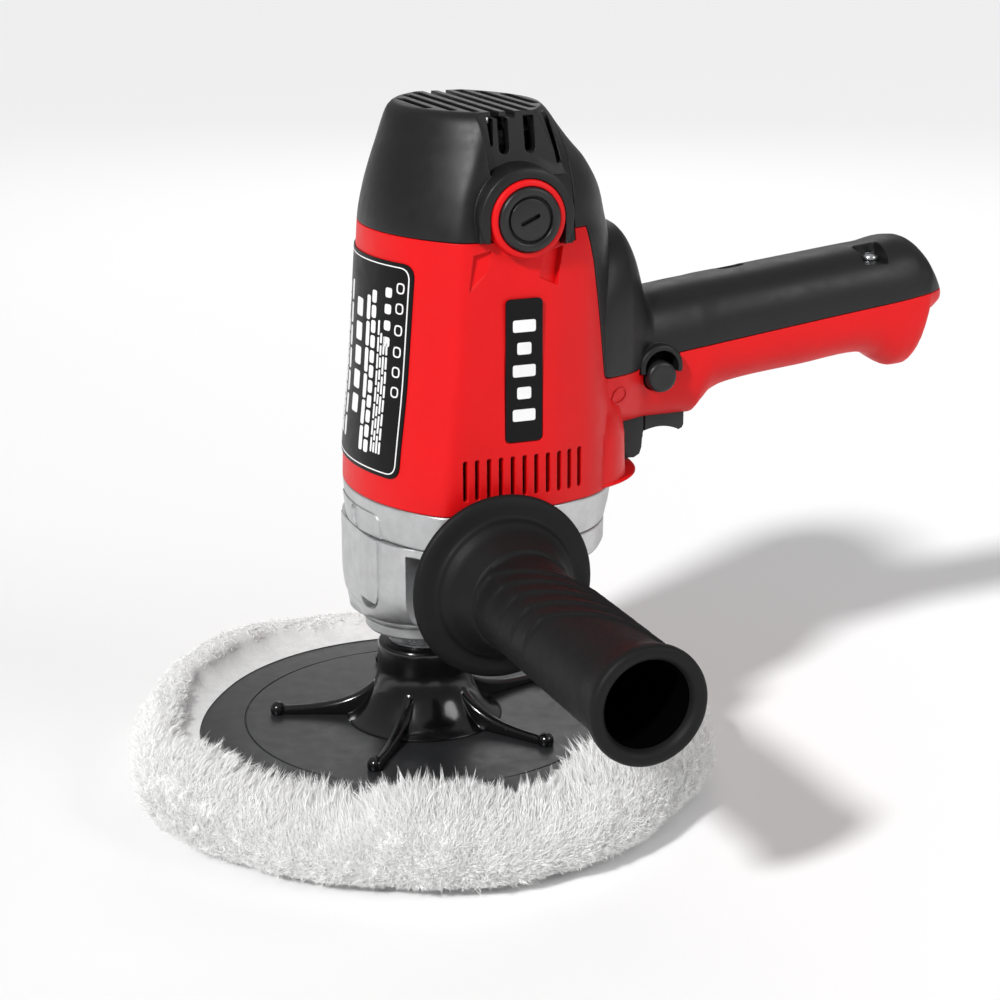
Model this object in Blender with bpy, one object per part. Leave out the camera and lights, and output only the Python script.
"""Rotary polisher with a side handle and a wool bonnet, as separate working parts.

Frame: the origin is on the spindle axis, on the bonnet's flat polishing face.
+Z points up along the spindle, +X towards the end of the rear handle, and -Y
towards the side handle. Lengths below are in millimetres; MM turns them into metres.
"""
import math

import bmesh
import bpy
from mathutils import Matrix, Vector

MM = 0.001

# ---- Driving dimensions ----------------------------------------------------
GAP = 0.3                     # clearance between pieces that touch
WALL = 3.0                    # thickness of the plastic shells

MOTOR_X = 22.0                # the motor stands this far behind the spindle

DISC_R = 88.0                 # backing disc
DISC_TOP = 25.0
DISC_THICK = 4.5
FOAM_R = 86.0
FOAM_THICK = 8.0
BONNET_R = 110.0
BONNET_H = 30.0
BONNET_FLOOR = DISC_TOP - DISC_THICK - FOAM_THICK - 2 * GAP

HUB_R = 17.0
HUB_TOP = 55.0
HUB_RIBS = 5
RIB_REACH = 54.5
RIB_PHASE = math.radians(159.6)

COLLAR_Z = 61.0               # underside of the bearing collar
CASE_Z = 68.0                 # underside of the gear housing
SEAM_Z = 101.5               # joint between gear housing and its cover
MOTOR_Z = 115.5               # lower edge of the motor housing
CAP_Z = 210.5                 # lower edge of the top cap
TOP_Z = 251.0

NECK_R = 27.0                 # gear housing where the collar meets it
SIDE_X = 10.0                  # axis of the side handle
SIDE_Z = 91.0
BOSS_R = 15.0
BOSS_Y = 49.0                 # face of each side boss
FLANGE_R = 33.0
GRIP_END_Y = 172.0

BRUSH_Z = 216.8               # axis of the carbon brushes
BRUSH_CAP_R = 10.9
ARCH_R = 13.3
ARCH_Y = 48.0                 # outer face of the brush arches

HANDLE_END_X = 210.0
BUTTON = (84.6, 151.4)        # lock button's axis, x and z
BUTTON_R = 5.7
BUTTON_FACE_Y = 24.0
SURROUND = (84.9, 154.4)      # black arc over the lock button
SURROUND_R = 8.6
ARC_FOOT_Z = 152.8            # lower ends of that arc

MODULE = 0.9                  # of every gear
PRESSURE = math.radians(25.0)
SPINDLE_TEETH = 38
COUNTER_PINION_TEETH = 13
COUNTER_GEAR_TEETH = 33
MOTOR_TEETH = 10
SLOW_CENTRES = MODULE * (SPINDLE_TEETH + COUNTER_PINION_TEETH) / 2
FAST_CENTRES = MODULE * (COUNTER_GEAR_TEETH + MOTOR_TEETH) / 2
COUNTER_X = (MOTOR_X ** 2 + SLOW_CENTRES ** 2 - FAST_CENTRES ** 2) / (2 * MOTOR_X)
COUNTER_Y = math.sqrt(SLOW_CENTRES ** 2 - COUNTER_X ** 2)

STATOR_Z = (140.0, 186.0)
STATOR_R = 38.0
BORE_R = 21.3
ARMATURE_R = 20.6
SHAFT_R = 5.0


# ---- Materials -------------------------------------------------------------
def material(name, colour, roughness, metallic=0.0):
    """A Principled BSDF material, made once."""
    found = bpy.data.materials.get(name)
    if found:
        return found
    made = bpy.data.materials.new(name)
    made.use_nodes = True
    made.diffuse_color = (*colour, 1.0)
    shader = made.node_tree.nodes["Principled BSDF"]
    shader.inputs["Base Color"].default_value = (*colour, 1.0)
    shader.inputs["Roughness"].default_value = roughness
    shader.inputs["Metallic"].default_value = metallic
    return made


RED = ("red_plastic", (0.80, 0.025, 0.03), 0.38)
BLACK = ("black_plastic", (0.045, 0.045, 0.047), 0.5)
GLOSS = ("gloss_plastic", (0.012, 0.012, 0.013), 0.15)
DISC = ("disc_plastic", (0.09, 0.09, 0.095), 0.35)
RUBBER = ("grip_rubber", (0.02, 0.02, 0.021), 0.6)
ALLOY = ("cast_alloy", (0.72, 0.73, 0.74), 0.42, 1.0)
STEEL = ("steel", (0.55, 0.56, 0.58), 0.3, 1.0)
DARK_STEEL = ("dark_steel", (0.18, 0.18, 0.19), 0.4, 1.0)
COPPER = ("copper", (0.75, 0.33, 0.16), 0.3, 1.0)
BRASS = ("brass", (0.75, 0.58, 0.28), 0.3, 1.0)
CARBON = ("carbon", (0.03, 0.03, 0.032), 0.7)
FOAM = ("foam", (0.22, 0.22, 0.24), 0.95)
WOOL = ("wool", (0.88, 0.87, 0.85), 0.95)
LABEL = ("label_film", (0.01, 0.01, 0.01), 0.3)


# ---- Mesh helpers ----------------------------------------------------------
def add_object(name, bm, look, sharp=35.0):
    """Turns a bmesh in millimetres into a named object in metres."""
    bmesh.ops.remove_doubles(bm, verts=bm.verts, dist=1e-4)
    bmesh.ops.recalc_face_normals(bm, faces=bm.faces)
    bmesh.ops.scale(bm, vec=(MM, MM, MM), verts=bm.verts)
    mesh = bpy.data.meshes.new(name)
    bm.to_mesh(mesh)
    bm.free()
    obj = bpy.data.objects.new(name, mesh)
    bpy.context.collection.objects.link(obj)
    mesh.materials.append(material(*look))
    mesh.shade_smooth()
    mesh.set_sharp_from_angle(angle=math.radians(sharp))
    return obj


def loft(name, rings, look, sharp=35.0):
    """Skins closed rings of points that all have the same length, and caps the ends."""
    bm = bmesh.new()
    rows = [[bm.verts.new(p) for p in ring] for ring in rings]
    count = len(rings[0])
    for low, high in zip(rows, rows[1:]):
        for i in range(count):
            j = (i + 1) % count
            bm.faces.new((low[i], low[j], high[j], high[i]))
    bm.faces.new(reversed(rows[0]))
    bm.faces.new(rows[-1])
    return add_object(name, bm, look, sharp)


def turned(name, profile, look, segments=32, sharp=35.0):
    """A body turned about Z from a closed outline of (radius, height) points."""
    bm = bmesh.new()
    rows = []
    for radius, height in profile:
        if radius == 0:
            rows.append([bm.verts.new((0, 0, height))] * segments)
        else:
            rows.append([bm.verts.new((radius * math.cos(math.tau * k / segments),
                                       radius * math.sin(math.tau * k / segments), height))
                         for k in range(segments)])
    for a, b in zip(rows, rows[1:] + rows[:1]):
        for k in range(segments):
            n = (k + 1) % segments
            corners = list(dict.fromkeys((a[k], a[n], b[n], b[k])))
            if len(corners) > 2:
                bm.faces.new(corners)
    return add_object(name, bm, look, sharp)


def prism(name, outline, low, high, look, axis="Z", sharp=35.0):
    """Extrudes a flat outline along an axis; the outline gives the two other coordinates."""
    place = {"Z": lambda u, v, w: (u, v, w),
             "Y": lambda u, v, w: (u, w, v),
             "X": lambda u, v, w: (w, u, v)}[axis]
    rings = [[place(u, v, w) for u, v in outline] for w in (low, high)]
    return loft(name, rings, look, sharp)


def box(name, low, high, look):
    """A plain block between two corners."""
    outline = [(low[0], low[1]), (high[0], low[1]), (high[0], high[1]), (low[0], high[1])]
    return prism(name, outline, low[2], high[2], look)


def circle(radius, segments, centre=(0.0, 0.0), phase=0.0):
    """Points round a circle."""
    return [(centre[0] + radius * math.cos(phase + math.tau * k / segments),
             centre[1] + radius * math.sin(phase + math.tau * k / segments))
            for k in range(segments)]


def rod(name, radius, low, high, look, axis="Z", centre=(0.0, 0.0), segments=24):
    """A plain round bar along an axis."""
    return prism(name, circle(radius, segments, centre), low, high, look, axis)


def shift(obj, x=0.0, y=0.0, z=0.0):
    """Moves an object by millimetres."""
    obj.location = Vector((x, y, z)) * MM
    return obj


def lay_along_y(obj, sign, x, z):
    """Turns a body made about Z so that its +Z points along sign * Y, at the given x and z."""
    obj.data.transform(Matrix.Rotation(-sign * math.pi / 2, 4, "X"))
    return shift(obj, x=x, z=z)


def settle(obj):
    """Moves an object's placing into its mesh."""
    obj.data.transform(obj.matrix_basis)
    obj.matrix_basis = Matrix.Identity(4)
    return obj


def combine(target, tools, operation):
    """Applies a Boolean with each tool in turn, and removes the tools."""
    for tool in tools:
        mod = target.modifiers.new("bool", "BOOLEAN")
        mod.operation = operation
        mod.solver = "MANIFOLD"
        mod.object = tool
        bpy.context.view_layer.update()
        graph = bpy.context.evaluated_depsgraph_get()
        mesh = bpy.data.meshes.new_from_object(target.evaluated_get(graph))
        target.modifiers.clear()
        target.data = mesh
        bpy.data.objects.remove(tool)
    target.data.shade_smooth()
    target.data.set_sharp_from_angle(angle=math.radians(35.0))
    return target


def drop_crumbs(obj):
    """Keeps only the largest connected body of a mesh."""
    bm = bmesh.new()
    bm.from_mesh(obj.data)
    waiting = set(bm.verts)
    bodies = []
    while waiting:
        body = {waiting.pop()}
        edge = list(body)
        while edge:
            near = {e.other_vert(v) for v in edge for e in v.link_edges} - body
            body |= near
            edge = list(near)
        waiting -= body
        bodies.append(body)
    largest = max(bodies, key=len)
    bmesh.ops.delete(bm, geom=[v for v in bm.verts if v not in largest], context="VERTS")
    bm.to_mesh(obj.data)
    bm.free()
    return obj


def cut(target, *tools):
    return combine(target, tools, "DIFFERENCE")


def join(target, *tools):
    return combine(target, tools, "UNION")


def keep_inside(target, tool):
    return combine(target, [tool], "INTERSECT")


def between(value, table):
    """Straight-line interpolation of rows of (key, a, b, ...) at a key."""
    keys = [row[0] for row in table]
    if value <= keys[0]:
        return table[0][1:]
    if value >= keys[-1]:
        return table[-1][1:]
    i = max(k for k in range(len(keys)) if keys[k] <= value)
    t = (value - keys[i]) / (keys[i + 1] - keys[i])
    return tuple(a + (b - a) * t for a, b in zip(table[i][1:], table[i + 1][1:]))


# ---- Outer forms -----------------------------------------------------------
# Motor barrel: height, reach to the front, reach to the rear, half width, all from the motor axis.
BARREL = [
    (SEAM_Z, 47.5, 45.8, 45.2),
    (MOTOR_Z - 0.1, 48.2, 46.5, 45.5),
    (MOTOR_Z, 48.7, 48.5, 46.0),
    (160.0, 45.2, 47.5, 45.2),
    (205.0, 42.2, 46.0, 43.6),
    (CAP_Z, 41.8, 44.8, 43.2),
    (220.5, 40.0, 42.5, 42.0),
    (231.0, 37.1, 37.0, 40.6),
    (238.0, 34.8, 30.8, 39.2),
    (244.0, 32.9, 26.0, 38.2),
    (249.0, 30.8, 22.2, 36.9),
    (TOP_Z, 28.4, 20.0, 34.4),
]
FRONT_CURVE = 1.36            # radius of the front face against its reach
REAR_CURVE = 1.04
LEAST_REAR_CURVE = 46.0       # keeps the cap boxy where its rear face slopes in
CORNER_SOFTNESS = 13.0
BARREL_POINTS = 32


def arc_distance(reach, radius, direction):
    """Distance from the motor axis to an arc that crosses the X axis at the given reach."""
    centre = radius - reach
    across = centre * math.sin(direction)
    return math.sqrt(radius ** 2 - across ** 2) - centre * abs(math.cos(direction))


def barrel_ring(z, front, rear, half, inset=0.0, points=BARREL_POINTS):
    """One closed outline of the barrel: curved front and rear, flat sides, soft corners."""
    ring = []
    for k in range(points):
        angle = math.tau * (k + 0.5) / points
        flat_side = half / max(abs(math.sin(angle)), 1e-6)
        if math.cos(angle) < 0:
            end = arc_distance(front, front * FRONT_CURVE, math.pi - angle)
        else:
            end = arc_distance(rear, max(rear * REAR_CURVE, LEAST_REAR_CURVE), angle)
        power = CORNER_SOFTNESS
        radius = (flat_side ** -power + end ** -power) ** (-1 / power) - inset
        ring.append((MOTOR_X + radius * math.cos(angle), radius * math.sin(angle), z))
    return ring


def barrel(name, heights, look, inset=0.0, points=BARREL_POINTS):
    """The barrel between the first and last of some heights, made smaller by an inset."""
    rings = [barrel_ring(z, *between(z, BARREL), inset=inset, points=points) for z in heights]
    return loft(name, rings, look)


# Rear handle: distance back, underside, top, half width.
HANDLE = [
    (40.0, 131.0, 198.0, 33.0),
    (58.0, 131.0, 204.0, 31.0),
    (66.0, 131.0, 206.6, 28.5),
    (70.5, 131.0, 206.6, 26.5),
    (74.0, 131.0, 204.2, 24.0),
    (77.0, 131.0, 199.2, 21.8),
    (79.3, 131.2, 192.0, 20.2),
    (81.2, 131.6, 184.0, 19.3),
    (84.0, 132.0, 180.2, 18.9),
    (103.0, 132.0, 182.2, 18.6),
    (105.5, 134.6, 182.4, 18.6),
    (110.0, 139.4, 183.0, 18.5),
    (118.0, 142.4, 183.8, 18.4),
    (150.0, 146.2, 187.3, 18.2),
    (174.0, 148.8, 189.9, 18.4),
    (180.0, 147.6, 190.5, 18.5),
    (185.0, 144.6, 191.7, 18.5),
    (190.0, 142.2, 192.4, 18.3),
    (194.5, 142.4, 192.2, 17.8),
    (198.0, 145.6, 190.4, 17.2),
    (200.5, 153.0, 188.0, 16.6),
    (202.0, 160.6, 186.0, 15.8),
    (205.5, 163.6, 180.4, 13.8),
    (208.5, 166.4, 174.4, 11.0),
    (HANDLE_END_X, 168.8, 171.2, 8.0),
]
HANDLE_POINTS = 16


def handle_ring(x, low, high, half, inset=0.0):
    """One upright section of the handle, between a box and an ellipse."""
    middle = (low + high) / 2
    tall = max((high - low) / 2 - inset, 0.4)
    wide = max(half - inset, 0.4)
    ring = []
    for k in range(HANDLE_POINTS):
        angle = math.tau * (k + 0.5) / HANDLE_POINTS
        c, s = math.cos(angle), math.sin(angle)
        y = wide * math.copysign(abs(c) ** 0.78, c)
        z = middle + tall * math.copysign(abs(s) ** 0.78, s)
        ring.append((x, y, z))
    return ring


def handle_body(name, look, inset=0.0, stop=HANDLE_END_X):
    """The handle up to a distance back; an inset body, for the hollow, has fewer sections."""
    stations = [row for row in HANDLE if row[0] <= stop]
    if inset:
        stations = stations[::2]
    return loft(name, [handle_ring(*row, inset=inset) for row in stations], look)


def chin_body(name, inset=0.0):
    """The nose under the handle that the trigger's leg slides in."""
    rows = [(MOTOR_Z + inset, 25.5), (MOTOR_Z + 1.6, 27.8), (MOTOR_Z + 3.0, 22.5), (140.0, 21.5)]
    rings = [[(x, y, z) for x, y in circle(radius - inset, 28, (54.6, 0.0))] for z, radius in rows]
    return loft(name, rings, RED)


# ---- Plastic shells --------------------------------------------------------
OUTSIDE_HEIGHTS = [MOTOR_Z, 160.0, 205.0, CAP_Z, 220.5, 231.0, 238.0, 244.0, 249.0, TOP_Z]
INSIDE_HEIGHTS = [MOTOR_Z - 1.0, 205.0, 220.5, 231.0, 240.0, TOP_Z - WALL]
COVER_EDGE_X = 42.3            # where the top cap ends and the handle cover begins
SEAM_GAP = 0.35


def shell(name, look):
    """The whole hollow plastic body, before it is parted into its three mouldings."""
    body = barrel(name, OUTSIDE_HEIGHTS, look)
    join(body, handle_body("tool", look), chin_body("tool"))
    hollow = barrel("hollow", INSIDE_HEIGHTS, look, inset=WALL, points=20)
    join(hollow, handle_body("tool", look, inset=WALL, stop=HOLLOW_END_X))
    cut(hollow, *[column(x, y) for x, y in COVER_SCREWS])
    cut(body, hollow)
    return body


HOLLOW_END_X = 205.5
COVER_SCREWS = [(180.0, -5.0), (125.0, 5.0)]
COLUMN_HALF = (7.5, 6.5)
LEG_LOW = 117.2                # bottom of the slot for the trigger's leg
GLAND_Z = 153.0


def column(x, y):
    """The pillar that each handle screw runs down."""
    wide, deep = COLUMN_HALF
    return box("tool", (x - wide, y - deep, 120.0), (x + wide, y + deep, 210.0), RED)


def cover_region(grow=0.0):
    """Side outline of the space that the handle cover takes, grown outwards by a margin."""
    g = grow
    left = SURROUND[0] - SURROUND_R
    right = SURROUND[0] + SURROUND_R
    outline = [
        (COVER_EDGE_X - g, 300.0), (COVER_EDGE_X - g, 211.5 - g), (47.7 - g, 211.5 - g),
        (50.7 - g, 199.0), (53.7 - g, 180.0), (56.6 - g, 164.0), (58.0 - g, 159.2 - g),
        (61.0 - g, 156.0 - g), (65.0, 154.8 - g), (72.0, 154.8 - g), (left - g, 155.4 - g),
        (left - g, ARC_FOOT_Z - g), (right + g, ARC_FOOT_Z - g), (right + g, 159.0 - g),
        (195.0, 171.6 - g), (212.0, 173.6 - g), (230.0, 175.6 - g), (230.0, 300.0),
    ]
    return prism("tool", outline, -80.0, 80.0, BLACK, axis="Y")


def cap_region(grow=0.0):
    """Side outline of the top cap's space, with the tab that runs down beside the arch."""
    g = grow
    right = COVER_EDGE_X - SEAM_GAP + g
    outline = [
        (-60.0, CAP_Z - g), (8.1, CAP_Z - 1.2 - g), (35.1 - g, CAP_Z - 1.2 - g),
        (35.1 - g, 207.5 - g), (right, 207.5 - g), (right, 300.0), (-60.0, 300.0),
    ]
    return prism("tool", outline, -80.0, 80.0, BLACK, axis="Y")


def arch_outline(radius):
    """An arch: straight legs below, a half circle about the brush axis above."""
    steps = 12
    points = [(MOTOR_X - radius, 203.0), (MOTOR_X + radius, 203.0)]
    for k in range(steps + 1):
        angle = math.pi * k / steps
        points.append((MOTOR_X + radius * math.cos(angle), BRUSH_Z + radius * math.sin(angle)))
    return points


def motor_housing():
    """Red barrel with the lower half of the handle, brush arches, vents and trigger slot."""
    body = shell("motor_housing", RED)
    cut(body, cover_region(SEAM_GAP), cap_region(SEAM_GAP))
    for side in (-1, 1):
        low, high = sorted((side * 38.5, side * ARCH_Y))
        join(body, prism("tool", arch_outline(ARCH_R), low, high, RED, axis="Y"))
        low, high = sorted((side * 36.0, side * 52.0))
        cut(body, rod("tool", BRUSH_CAP_R + GAP, low, high, RED, "Y", (MOTOR_X, BRUSH_Z), 24))
    vents = []
    for k in range(11):
        x = MOTOR_X - 22.6 + 4.4 * k
        vents.append(box("tool", (x - 0.9, -60.0, 120.3), (x + 0.9, 60.0, 134.6), RED))
    cut(body, *vents)
    cut(body, box("tool", (71.0, -9.0, LEG_LOW), (90.0, 9.0, 138.0), RED),
        box("tool", (79.0, -9.0, 125.0), (102.5, 9.0, 142.0), RED),
        rod("tool", BUTTON_R + 0.5, -30.0, -10.0, RED, "Y", BUTTON, 20),
        rod("tool", 5.6, 190.0, 220.0, RED, "X", (0.0, GLAND_Z), 16),
        *[rod("tool", 1.9, 150.0, 180.0, RED, "Z", place, 12) for place in COVER_SCREWS])
    return drop_crumbs(body)


def handle_cover():
    """Black moulding over the rear of the barrel and the top of the handle."""
    body = shell("handle_cover", BLACK)
    keep_inside(body, cover_region())
    ring = rod("ring", SURROUND_R, -22.4, -16.5, BLACK, "Y", SURROUND, 20)
    keep_inside(ring, cover_region())
    join(body, ring)
    cut(body, rod("tool", BUTTON_R + 0.5, -30.0, -10.0, BLACK, "Y", BUTTON, 20),
        rod("tool", SURROUND_R - 2.0, -30.0, -14.0, BLACK, "Y", SURROUND, 20))
    for x, y in COVER_SCREWS:
        top = 182.2 + 0.108 * (x - 103.0)
        cut(body, box("tool", (x - 5.5, y - 4.0, top - 6.0), (x + 5.5, y + 4.0, 210.0), BLACK),
            rod("tool", 1.9, 150.0, 200.0, BLACK, "Z", (x, y), 12))
    return drop_crumbs(body)


def top_cap():
    """Black cap with a slotted top and two slots over each brush arch."""
    body = shell("top_cap", BLACK)
    keep_inside(body, cap_region())
    for side in (-1, 1):
        low, high = sorted((side * 30.0, side * 60.0))
        cut(body, *[box("tool", (x - 1.8, low, 233.5), (x + 1.8, high, 247.0), BLACK)
                    for x in (19.5, 28.5)])
        low, high = sorted((side * 20.0, side * 60.0))
        cut(body, prism("tool", arch_outline(ARCH_R + GAP), low, high, BLACK, axis="Y"))
    grille = []
    for k in range(7):
        x = 2.0 + 6.0 * k
        grille.append(box("tool", (x - 1.3, -25.0, 240.0), (x + 1.3, 25.0, 260.0), BLACK))
    cut(body, *grille)
    return drop_crumbs(body)


# ---- Gear case -------------------------------------------------------------
CASE_SCREWS = [(-20.0, 0.0), (31.0, 36.0), (31.0, -36.0), (62.0, 0.0)]
POT_CENTRE = 8.0
POT_POINTS = 30


def pot_ring(z, grow):
    """Outline of the deep part of the gear housing, between the neck and the full pot."""
    ring = []
    for k in range(POT_POINTS):
        angle = math.tau * (k + 0.5) / POT_POINTS
        c, s = math.cos(angle), math.sin(angle)
        end = 33.4 if c < 0 else 38.0
        full = (abs(c / end) ** 3.0 + abs(s / 39.5) ** 3.0) ** (-1 / 3.0)
        x = (1 - grow) * NECK_R * c + grow * (POT_CENTRE + full * c)
        y = (1 - grow) * NECK_R * s + grow * full * s
        ring.append((x, y, z))
    return ring


def gear_housing():
    """Cast pot for the gears: neck for the spindle bearing, a boss on each side, screw holes."""
    rise = 15.0
    rings = []
    for k in range(5):
        part = k / 4
        rings.append(pot_ring(CASE_Z + rise * part, math.sqrt(1 - (1 - part) ** 2)))
    rings.append(pot_ring(SEAM_Z - GAP, 1.0))
    body = loft("gear_housing", rings, ALLOY)
    lip = [barrel_ring(z, *between(SEAM_Z, BARREL), inset=inset, points=POT_POINTS)
           for z, inset in ((89.5, 5.0), (91.0, 1.8), (93.5, 0.0), (SEAM_Z - GAP, 0.0))]
    join(body, loft("tool", lip, ALLOY))
    for side in (-1, 1):
        low, high = sorted((side * 30.0, side * BOSS_Y))
        boss = rod("tool", BOSS_R, low, high, ALLOY, "Y", (SIDE_X, SIDE_Z), 20)
        cut(boss, box("tool", (-60.0, -80.0, SEAM_Z - GAP), (60.0, 80.0, 130.0), ALLOY))
        join(body, boss)
    top = SEAM_Z + 5.0
    cut(body,
        rod("tool", SPINDLE_TEETH * MODULE / 2 + 2.6, 78.0, top, ALLOY, "Z", (0, 0), 24),
        rod("tool", COUNTER_GEAR_TEETH * MODULE / 2 + 2.2, 84.0, top, ALLOY, "Z",
            (COUNTER_X, COUNTER_Y), 24),
        rod("tool", 8.2, 78.0, top, ALLOY, "Z", (COUNTER_X, COUNTER_Y), 16),
        rod("tool", 8.0, 84.0, top, ALLOY, "Z", (MOTOR_X, 0), 16),
        rod("tool", 14.0 + GAP, 60.0, 80.0, ALLOY, "Z", (0, 0), 20),
        rod("tool", 5.0 + GAP, 73.5, 80.0, ALLOY, "Z", (COUNTER_X, COUNTER_Y), 16))
    for side in (-1, 1):
        low, high = sorted((side * 38.0, side * 60.0))
        cut(body, rod("tool", 4.0 + GAP, low, high, ALLOY, "Y", (SIDE_X, SIDE_Z), 16))
    for x, y in CASE_SCREWS:
        cut(body, rod("tool", 1.8, 93.5, top, ALLOY, "Z", (x, y), 10))
    return body


def gear_case_cover():
    """Alloy plate between gears and motor, holding the upper bearings."""
    heights = [SEAM_Z, MOTOR_Z - GAP]
    body = loft("gear_case_cover",
                [barrel_ring(z, *between(z, BARREL), points=POT_POINTS) for z in heights], ALLOY)
    bores = [((MOTOR_X, 0), 11.0, 103.7, 120.0), ((MOTOR_X, 0), 8.2, 90.0, 120.0),
             ((0, 0), 8.0, 90.0, 109.4), ((COUNTER_X, COUNTER_Y), 6.0, 90.0, 107.2)]
    cut(body, *[rod("tool", radius + GAP, low, high, ALLOY, "Z", place, 16)
                for place, radius, low, high in bores])
    ring = turned("tool", [(34.0, 108.0), (42.0, 108.0), (42.0, 120.0), (34.0, 120.0)], ALLOY, 24)
    cut(body, settle(shift(ring, x=MOTOR_X)))
    for x, y in CASE_SCREWS:
        cut(body, rod("tool", 1.8, 90.0, 108.0, ALLOY, "Z", (x, y), 10),
            rod("tool", 3.6, 107.0, 120.0, ALLOY, "Z", (x, y), 12))
    return body


def bearing_collar():
    """Ring that holds the spindle's lower bearing in the neck."""
    top = CASE_Z - GAP
    return turned("bearing_collar", [(8.6, COLLAR_Z), (20.5, COLLAR_Z), (21.5, COLLAR_Z + 0.8),
                                     (22.4, top), (8.6, top)], ALLOY, 28)


def case_screw(number, x, y):
    """Cap-head screw that clamps the gear-case cover."""
    made = turned(f"case_screw_{number}", [(0.0, 95.0), (1.5, 95.0), (1.5, 107.3), (3.2, 107.3),
                                           (3.2, 110.3), (1.4, 110.8), (1.4, 108.8),
                                           (0.0, 108.8)], STEEL, 10)
    return shift(made, x=x, y=y)


# ---- Bearings and shafts ---------------------------------------------------
def ball_bearing(name, place, low, high, outer, inner):
    """One bearing, as a ring with chamfered outer edges."""
    x, y = place
    edge = 0.4
    made = turned(name, [(inner, low), (outer - edge, low), (outer, low + edge),
                         (outer, high - edge), (outer - edge, high), (inner, high)], STEEL, 16)
    return shift(made, x=x, y=y)


def involute(value):
    return math.tan(value) - value


def gear_outline(teeth, tooth_at, addendum=0.8, dedendum=1.15, play=0.2):
    """Involute gear with one tooth centred on the angle tooth_at."""
    pitch = teeth * MODULE / 2
    base = pitch * math.cos(PRESSURE)
    root = pitch - dedendum * MODULE
    tip = pitch + addendum * MODULE
    half_at_pitch = math.pi / (2 * teeth) - play / (2 * pitch)
    start = max(base, root)
    flank = []
    for radius in (start, tip):
        spread = math.acos(min(1.0, base / radius))
        flank.append((radius, half_at_pitch + involute(PRESSURE) - involute(spread)))
    if root < base:
        flank.insert(0, (root, flank[0][1]))
    points = []
    for k in range(teeth):
        centre = tooth_at + math.tau * k / teeth
        for radius, half in flank:
            points.append((radius * math.cos(centre - half), radius * math.sin(centre - half)))
        for radius, half in reversed(flank):
            points.append((radius * math.cos(centre + half), radius * math.sin(centre + half)))
    return points


def gear(name, teeth, place, low, high, tooth_at, bore, look=DARK_STEEL):
    """A spur gear with a bored centre, on its own axis."""
    made = prism(name, gear_outline(teeth, tooth_at), low, high, look)
    if bore:
        cut(made, rod("tool", bore, low - 1, high + 1, look, "Z", (0, 0), 16))
    return shift(made, x=place[0], y=place[1])


TO_COUNTER = math.atan2(COUNTER_Y, COUNTER_X)
COUNTER_TO_MOTOR = math.atan2(-COUNTER_Y, MOTOR_X - COUNTER_X)


def spindle():
    """Output spindle: thread for the hub, two wrench flats, gear seat, and top journal."""
    made = turned("spindle", [(0.0, 40.0), (6.3, 40.0), (6.9, 40.8), (6.9, 56.3), (8.2, 56.3),
                              (8.2, 76.0), (7.6, 77.8), (7.6, 88.0), (4.7, 88.0),
                              (4.7, 108.6), (0.0, 108.6)], STEEL, 16)
    flats = [box("tool", (6.9, -12, 56.31), (12, 12, 60.7), STEEL),
             box("tool", (-12, -12, 56.31), (-6.9, 12, 60.7), STEEL)]
    return cut(made, *flats)


def countershaft():
    """Intermediate shaft with its small pinion cut on it."""
    made = turned("countershaft", [(0.0, 74.0), (3.2, 74.0), (3.2, 78.6), (4.2, 78.6),
                                   (4.2, 101.8), (3.4, 101.8), (3.4, 106.6), (0.0, 106.6)],
                  STEEL, 16)
    half_tooth = math.pi / COUNTER_PINION_TEETH
    teeth = prism("tool", gear_outline(COUNTER_PINION_TEETH, TO_COUNTER + math.pi + half_tooth),
                  78.9, 88.0, STEEL)
    join(made, teeth)
    return shift(made, x=COUNTER_X, y=COUNTER_Y)


def armature_shaft():
    """Motor shaft with its pinion cut on the lower end."""
    made = turned("armature_shaft", [(0.0, 89.0), (3.0, 89.0), (3.0, 99.0), (SHAFT_R, 101.0),
                                     (SHAFT_R, 232.0), (3.9, 232.0), (3.9, 240.0),
                                     (0.0, 240.0)], STEEL, 16)
    half_tooth = math.pi / MOTOR_TEETH
    teeth = prism("tool", gear_outline(MOTOR_TEETH, COUNTER_TO_MOTOR + math.pi + half_tooth),
                  89.0, 97.4, STEEL)
    join(made, teeth)
    return shift(made, x=MOTOR_X)


# ---- Motor -----------------------------------------------------------------
def sector(inner, outer, middle, half, steps=8):
    """Outline of a piece of a ring about the motor axis."""
    angles = [middle - half + 2 * half * k / steps for k in range(steps + 1)]
    points = [(MOTOR_X + inner * math.cos(a), inner * math.sin(a)) for a in angles]
    points += [(MOTOR_X + outer * math.cos(a), outer * math.sin(a)) for a in reversed(angles)]
    return points


def stator_core():
    """Laminated stack with four slots for the legs of the field coils."""
    low, high = STATOR_Z
    made = turned("stator_core", [(BORE_R, low), (STATOR_R, low), (STATOR_R, high),
                                  (BORE_R, high)], DARK_STEEL, 32)
    settle(shift(made, x=MOTOR_X))
    slots = []
    for middle in (0.0, math.pi):
        for side in (-1, 1):
            outline = sector(23.6, 30.4, middle + side * math.radians(52), math.radians(9.5), 4)
            slots.append(prism("tool", outline, low - 1, high + 1, DARK_STEEL))
    return cut(made, *slots)


def field_coil(name, middle):
    """Saddle of wire round one pole: two legs in slots and two end turns."""
    low, high = STATOR_Z
    made = prism(name, sector(24.2, 29.8, middle, math.radians(60), 12), low - 8, high + 8, COPPER)
    window = prism("tool", sector(20.0, 34.0, middle, math.radians(44.5), 12),
                   low - 1.0, high + 1.0, COPPER)
    return cut(made, window)


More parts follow.
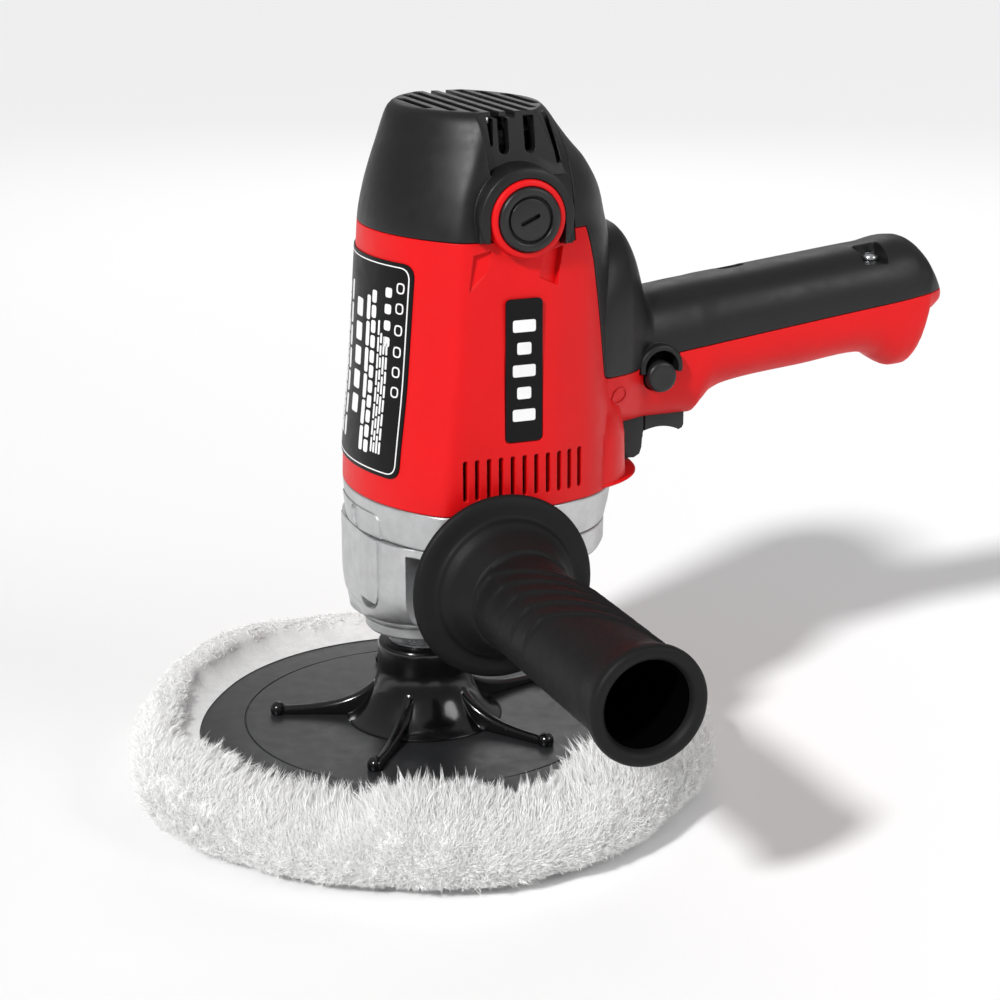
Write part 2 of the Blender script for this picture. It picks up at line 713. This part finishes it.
def armature_core():
    """Slotted rotor stack."""
    low, high = STATOR_Z
    outline = []
    slots = 12
    for k in range(slots):
        centre = math.tau * k / slots
        for offset, radius in ((-0.21, ARMATURE_R), (0.0, ARMATURE_R), (0.21, ARMATURE_R),
                               (0.22, ARMATURE_R - 3.0), (0.30, ARMATURE_R - 3.0)):
            outline.append((radius * math.cos(centre + offset), radius * math.sin(centre + offset)))
    made = prism("armature_core", outline, low, high, DARK_STEEL)
    cut(made, rod("tool", SHAFT_R + GAP, low - 1, high + 1, STEEL, "Z", (0, 0), 16))
    return shift(made, x=MOTOR_X)


def winding(name, low, high, narrow_top):
    """End turns of the armature winding, a rounded ring."""
    wide, slim = 17.0, 12.5
    bottom, top = (wide, slim) if narrow_top else (slim, wide)
    middle = (low + high) / 2
    made = turned(name, [(SHAFT_R + GAP, low), (bottom, low), (max(bottom, top) - 0.4, middle),
                         (top, high), (SHAFT_R + GAP, high)], COPPER, 20)
    return shift(made, x=MOTOR_X)


def commutator():
    """Copper segments on a sleeve."""
    bars = 16
    outline = []
    for k in range(bars):
        centre = math.tau * k / bars
        for offset, radius in ((-0.16, 12.0), (0.0, 12.0), (0.16, 12.0), (0.17, 11.2),
                               (0.225, 11.2)):
            outline.append((radius * math.cos(centre + offset), radius * math.sin(centre + offset)))
    made = prism("commutator", outline, 206.5, 227.5, COPPER)
    cut(made, rod("tool", SHAFT_R + GAP, 200.0, 230.0, STEEL, "Z", (0, 0), 16))
    return shift(made, x=MOTOR_X)


def cooling_fan():
    """Fan disc with straight blades that pulls air down through the motor."""
    made = turned("cooling_fan", [(SHAFT_R + GAP, 117.5), (8.5, 117.5), (8.5, 126.5),
                                  (34.0, 126.5), (34.0, 128.0), (SHAFT_R + GAP, 128.0)],
                  BLACK, 24)
    blades = []
    count = 9
    for k in range(count):
        blade = box("tool", (14.0, -0.8, 118.0), (33.4, 0.8, 127.0), BLACK)
        blade.data.transform(Matrix.Rotation(math.tau * k / count, 4, "Z"))
        blades.append(blade)
    join(made, *blades)
    return shift(made, x=MOTOR_X)


def brush_parts(side, label):
    """Brush, its holder tube, spring and screw cap on one side."""
    low, high = sorted((side * 12.5, side * 24.0))
    box(f"carbon_brush_{label}", (MOTOR_X - 3.0, low, BRUSH_Z - 4.5),
        (MOTOR_X + 3.0, high, BRUSH_Z + 4.5), CARBON)
    low, high = sorted((side * 14.5, side * 35.8))
    holder = box(f"brush_holder_{label}", (MOTOR_X - 5.0, low, BRUSH_Z - 6.5),
                 (MOTOR_X + 5.0, high, BRUSH_Z + 6.5), BRASS)
    low, high = sorted((side * 10.0, side * 40.0))
    cut(holder, box("tool", (MOTOR_X - 3.3, low, BRUSH_Z - 4.8),
                    (MOTOR_X + 3.3, high, BRUSH_Z + 4.8), BRASS))
    spring = coil(f"brush_spring_{label}", 2.2, 0.4, 24.4, 36.4, 5)
    lay_along_y(spring, side, MOTOR_X, BRUSH_Z)
    cap = turned(f"brush_cap_{label}", [(0.0, 36.8), (BRUSH_CAP_R, 36.8), (BRUSH_CAP_R, 48.6),
                                        (9.9, 49.4), (8.2, 49.4), (7.9, 48.6), (7.2, 48.6),
                                        (6.9, 49.2), (0.0, 49.2)], BLACK, 20)
    slot = box("tool", (-5.0, -0.8, 47.6), (5.0, 0.8, 53.0), BLACK)
    cut(cap, slot)
    lay_along_y(cap, side, MOTOR_X, BRUSH_Z)


def coil(name, radius, wire, low, high, turns, look=STEEL):
    """A helical compression spring about Z with four-sided wire."""
    per_turn = 6
    sides = 4
    total = turns * per_turn
    rings = []
    rise = (high - low - 2 * wire) / total
    for k in range(total + 1):
        angle = math.tau * k / per_turn
        out = Vector((math.cos(angle), math.sin(angle), 0))
        centre = out * radius + Vector((0, 0, low + wire + rise * k))
        rings.append([centre + wire * (math.cos(math.tau * s / sides) * out
                                       + math.sin(math.tau * s / sides) * Vector((0, 0, 1)))
                      for s in range(sides)])
    return loft(name, rings, look)


def motor_parts():
    stator_core()
    field_coil("field_coil_front", math.pi)
    field_coil("field_coil_rear", 0.0)
    armature_shaft()
    armature_core()
    low, high = STATOR_Z
    winding("armature_winding_lower", low - 9.0, low - GAP, False)
    winding("armature_winding_upper", high + GAP, high + 12.0, True)
    commutator()
    cooling_fan()
    for side, label in ((-1, "right"), (1, "left")):
        brush_parts(side, label)
    ball_bearing("armature_bearing_lower", (MOTOR_X, 0), 104.2, 112.0, 11.0, SHAFT_R + GAP)
    ball_bearing("armature_bearing_upper", (MOTOR_X, 0), 232.4, 239.0, 11.0, 3.9 + GAP)
    carrier = turned("bearing_carrier", [(11.3, 231.0), (14.0, 231.0), (14.0, 239.4),
                                         (19.0, 239.4), (19.0, 241.6), (11.3, 241.6)], BLACK, 20)
    join(carrier, box("tool", (-6.0, -29.5, 239.4), (6.0, -13.0, 241.6), BLACK),
         box("tool", (-6.0, 13.0, 239.4), (6.0, 29.5, 241.6), BLACK))
    shift(carrier, x=MOTOR_X)


# ---- Polishing head --------------------------------------------------------
def pad_hub():
    """Gloss hub that screws on the spindle, with curved ribs that run out over the disc."""
    top = HUB_TOP
    base = DISC_TOP + GAP
    made = turned("pad_hub", [(0.0, base), (29.0, base), (29.0, base + 0.8), (24.5, base + 3.2),
                              (21.0, base + 7.5), (18.4, base + 13.0), (HUB_R, base + 20.0),
                              (HUB_R, top - 1.2), (HUB_R - 1.2, top), (7.2, top),
                              (7.2, 39.7), (0.0, 39.7)], GLOSS, 20)
    for k in range(HUB_RIBS):
        join(made, hub_rib(RIB_PHASE + math.tau * k / HUB_RIBS))
    return made


def hub_rib(angle):
    """One rib: high at the hub, sweeping down to a round knob above the disc."""
    rings = []
    stations = 5
    for k in range(stations + 1):
        part = k / stations
        reach = 12.0 + (RIB_REACH - 12.0) * part
        drop = 13.5 * math.exp(-max(reach - 16.0, 0.0) / 9.5)
        high = DISC_TOP + 3.0 + drop
        half = 1.9 - 0.2 * part
        low = DISC_TOP + 0.8
        rings.append([(reach, -half, low), (reach, half, low), (reach, half, high - 1.1),
                      (reach, half * 0.55, high), (reach, -half * 0.55, high),
                      (reach, -half, high - 1.1)])
    made = loft("tool", rings, GLOSS)
    knob = turned("tool", [(0.0, DISC_TOP + 0.8), (2.5, DISC_TOP + 0.8), (2.5, DISC_TOP + 2.6),
                           (1.6, DISC_TOP + 3.9), (0.0, DISC_TOP + 4.3)], GLOSS, 8)
    join(made, settle(shift(knob, x=RIB_REACH)))
    made.data.transform(Matrix.Rotation(angle, 4, "Z"))
    return made


def backing_disc():
    """Rigid disc with a rounded rim and a shallow ring line."""
    low = DISC_TOP - DISC_THICK
    line = 66.6
    return turned("backing_disc", [(0.0, low), (DISC_R - 1.2, low), (DISC_R, low + 1.2),
                                   (DISC_R, DISC_TOP - 1.6), (DISC_R - 1.6, DISC_TOP),
                                   (line + 0.5, DISC_TOP), (line, DISC_TOP - 0.5),
                                   (line - 0.5, DISC_TOP), (0.0, DISC_TOP)], DISC, 36)


def foam_layer():
    """Soft layer under the disc that the bonnet grips."""
    high = DISC_TOP - DISC_THICK - GAP
    low = high - FOAM_THICK
    return turned("foam_layer", [(0.0, low), (FOAM_R - 2.0, low), (FOAM_R, low + 2.0),
                                 (FOAM_R, high), (0.0, high)], FOAM, 32)


def wool_bonnet():
    """Bowl of wool pile: flat below, fat round edge, and a rim that stands past the disc."""
    floor = BONNET_FLOOR - GAP
    inner = DISC_R + 0.8
    return turned("wool_bonnet", [(0.0, 0.0), (92.0, 0.0), (99.5, 1.2), (105.5, 4.5),
                                  (109.0, 9.0), (BONNET_R, 14.0), (108.0, 20.0),
                                  (103.5, 26.0), (97.5, BONNET_H), (93.0, BONNET_H - 0.5),
                                  (inner, 26.0), (inner, floor), (0.0, floor)], WOOL, 36)


# ---- Side handle -----------------------------------------------------------
def side_handle():
    """Moulded grip: broad flange, waisted finger grip, flared end with a deep socket."""
    face = BOSS_Y + 0.4
    profile = [
        (4.3, face), (16.0, face), (18.0, face + 1.6), (FLANGE_R - 1.5, face + 2.4),
        (FLANGE_R, face + 4.0), (FLANGE_R - 0.4, face + 5.8), (27.0, face + 7.8),
        (21.4, face + 10.6), (17.8, face + 17.0), (17.2, face + 26.0), (17.5, face + 60.0),
        (17.0, face + 100.0), (18.6, GRIP_END_Y - 5.5), (19.5, GRIP_END_Y - 2.5),
        (18.4, GRIP_END_Y), (16.0, GRIP_END_Y), (15.0, GRIP_END_Y - 1.6),
        (14.0, GRIP_END_Y - 34.0), (8.0, GRIP_END_Y - 36.0), (8.0, face + 22.0),
        (4.3, face + 22.0),
    ]
    made = turned("side_handle", profile, RUBBER, 22)
    return lay_along_y(made, -1, SIDE_X, SIDE_Z)


def side_handle_stud():
    """Threaded stud and hexagon head that hold the side handle."""
    made = turned("side_handle_stud", [(0.0, 38.6), (3.9, 38.6), (3.9, 73.4), (0.0, 73.4)],
                  STEEL, 14)
    join(made, prism("tool", circle(7.0, 6), 72.8, 78.0, STEEL))
    return lay_along_y(made, -1, SIDE_X, SIDE_Z)


# ---- Switch, labels and small parts ----------------------------------------
def trigger():
    """L-shaped trigger: a leg that slides in the chin and a curved blade above the finger."""
    outline = [(74.5, LEG_LOW + 0.8), (76.5, LEG_LOW + 0.4), (81.5, LEG_LOW + 0.4),
               (83.6, LEG_LOW + 2.4), (84.2, 125.4)]
    for k in range(5):
        part = k / 4
        outline.append((85.6 + 13.4 * part, 128.2 + 2.4 * math.sin(math.pi * 0.5 * part)
                        - 3.6 * part ** 2))
    outline += [(100.8, 127.4), (101.2, 133.0), (100.4, 134.6), (82.0, 135.0), (74.5, 134.2)]
    return prism("trigger", outline, -8.0, 8.0, BLACK, axis="Y")


def switch_parts():
    """Switch block in the handle root, the trigger over its spring, and the lock button."""
    box("switch_body", (76.0, -8.5, 143.0), (104.0, 8.5, 165.0), DARK_STEEL)
    trigger()
    coil_made = coil("trigger_spring", 3.0, 0.35, 135.4, 142.6, 4)
    shift(coil_made, x=92.0)
    button = turned("lock_button", [(0.0, 12.0), (3.0, 12.0), (3.0, 14.0), (BUTTON_R, 14.0),
                                    (BUTTON_R, BUTTON_FACE_Y - 1.0),
                                    (BUTTON_R - 1.0, BUTTON_FACE_Y),
                                    (0.0, BUTTON_FACE_Y)], BLACK, 20)
    lay_along_y(button, -1, BUTTON[0], BUTTON[1])


def cable_gland():
    """Ring in the handle's rear lobe where a mains lead would enter."""
    made = turned("cable_gland", [(3.6, 192.0), (5.2, 192.0), (5.2, 201.0), (4.6, 201.6),
                                  (3.6, 201.6)], RUBBER, 16)
    made.data.transform(Matrix.Rotation(math.pi / 2, 4, "Y"))
    return shift(made, z=GLAND_Z)


def cover_screw(number, x, y):
    """Pan-head screw at the bottom of a pocket in the handle cover."""
    seat = 182.2 + 0.108 * (x - 103.0) - 6.0 + GAP
    made = turned(f"cover_screw_{number}", [(0.0, 156.0), (1.5, 156.0), (1.5, seat), (3.4, seat),
                                            (3.2, seat + 1.6), (2.2, seat + 2.3),
                                            (0.0, seat + 2.3)], STEEL, 14)
    return shift(made, x=x, y=y)


def plates():
    """The two thin data plates, one on the flat side and one on the curved front."""
    side = rounded_rectangle(MOTOR_X - 0.8, 164.6, 13.5, 50.0, 2.0)
    prism("side_label", side, -46.3, -45.8, LABEL, axis="Y")
    heights = (123.0, 160.0, 203.0)
    plate = barrel("name_plate", heights, LABEL, inset=-0.9)
    cut(plate, barrel("tool", (122.0, 160.0, 204.0), LABEL, inset=-0.4))
    outline = rounded_rectangle(0.0, 163.0, 60.0, 75.0, 5.0)
    keep_inside(plate, prism("tool", outline, -60.0, 0.0, LABEL, axis="X"))


def rounded_rectangle(u, v, wide, tall, corner, steps=4):
    """Outline of a rectangle with round corners."""
    points = []
    for sx, sy, start in ((1, -1, -90), (1, 1, 0), (-1, 1, 90), (-1, -1, 180)):
        cx = u + sx * (wide / 2 - corner)
        cy = v + sy * (tall / 2 - corner)
        for k in range(steps + 1):
            angle = math.radians(start + 90 * k / steps)
            points.append((cx + corner * math.cos(angle), cy + corner * math.sin(angle)))
    return points


# ---- Assembly --------------------------------------------------------------
def main():
    for obj in list(bpy.data.objects):
        bpy.data.objects.remove(obj)
    motor_housing()
    handle_cover()
    top_cap()
    gear_housing()
    gear_case_cover()
    bearing_collar()
    for number, (x, y) in enumerate(CASE_SCREWS, 1):
        case_screw(number, x, y)
    for number, (x, y) in enumerate(COVER_SCREWS, 1):
        cover_screw(number, x, y)
    spindle()
    gear("spindle_gear", SPINDLE_TEETH, (0, 0), 79.2, 87.2, TO_COUNTER, 7.6 + GAP)
    countershaft()
    gear("countershaft_gear", COUNTER_GEAR_TEETH, (COUNTER_X, COUNTER_Y), 89.4, 96.4,
         COUNTER_TO_MOTOR, 4.2 + GAP)
    ball_bearing("spindle_bearing_lower", (0, 0), 68.4, 77.4, 14.0, 8.2 + GAP)
    ball_bearing("spindle_bearing_upper", (0, 0), 102.2, 109.1, 8.0, 4.7 + GAP)
    ball_bearing("countershaft_bearing_lower", (COUNTER_X, COUNTER_Y), 73.9, 78.2, 5.0, 3.2 + GAP)
    ball_bearing("countershaft_bearing_upper", (COUNTER_X, COUNTER_Y), 102.4, 106.8, 6.0,
                 3.4 + GAP)
    motor_parts()
    pad_hub()
    backing_disc()
    foam_layer()
    wool_bonnet()
    side_handle()
    side_handle_stud()
    switch_parts()
    cable_gland()
    plates()


main()
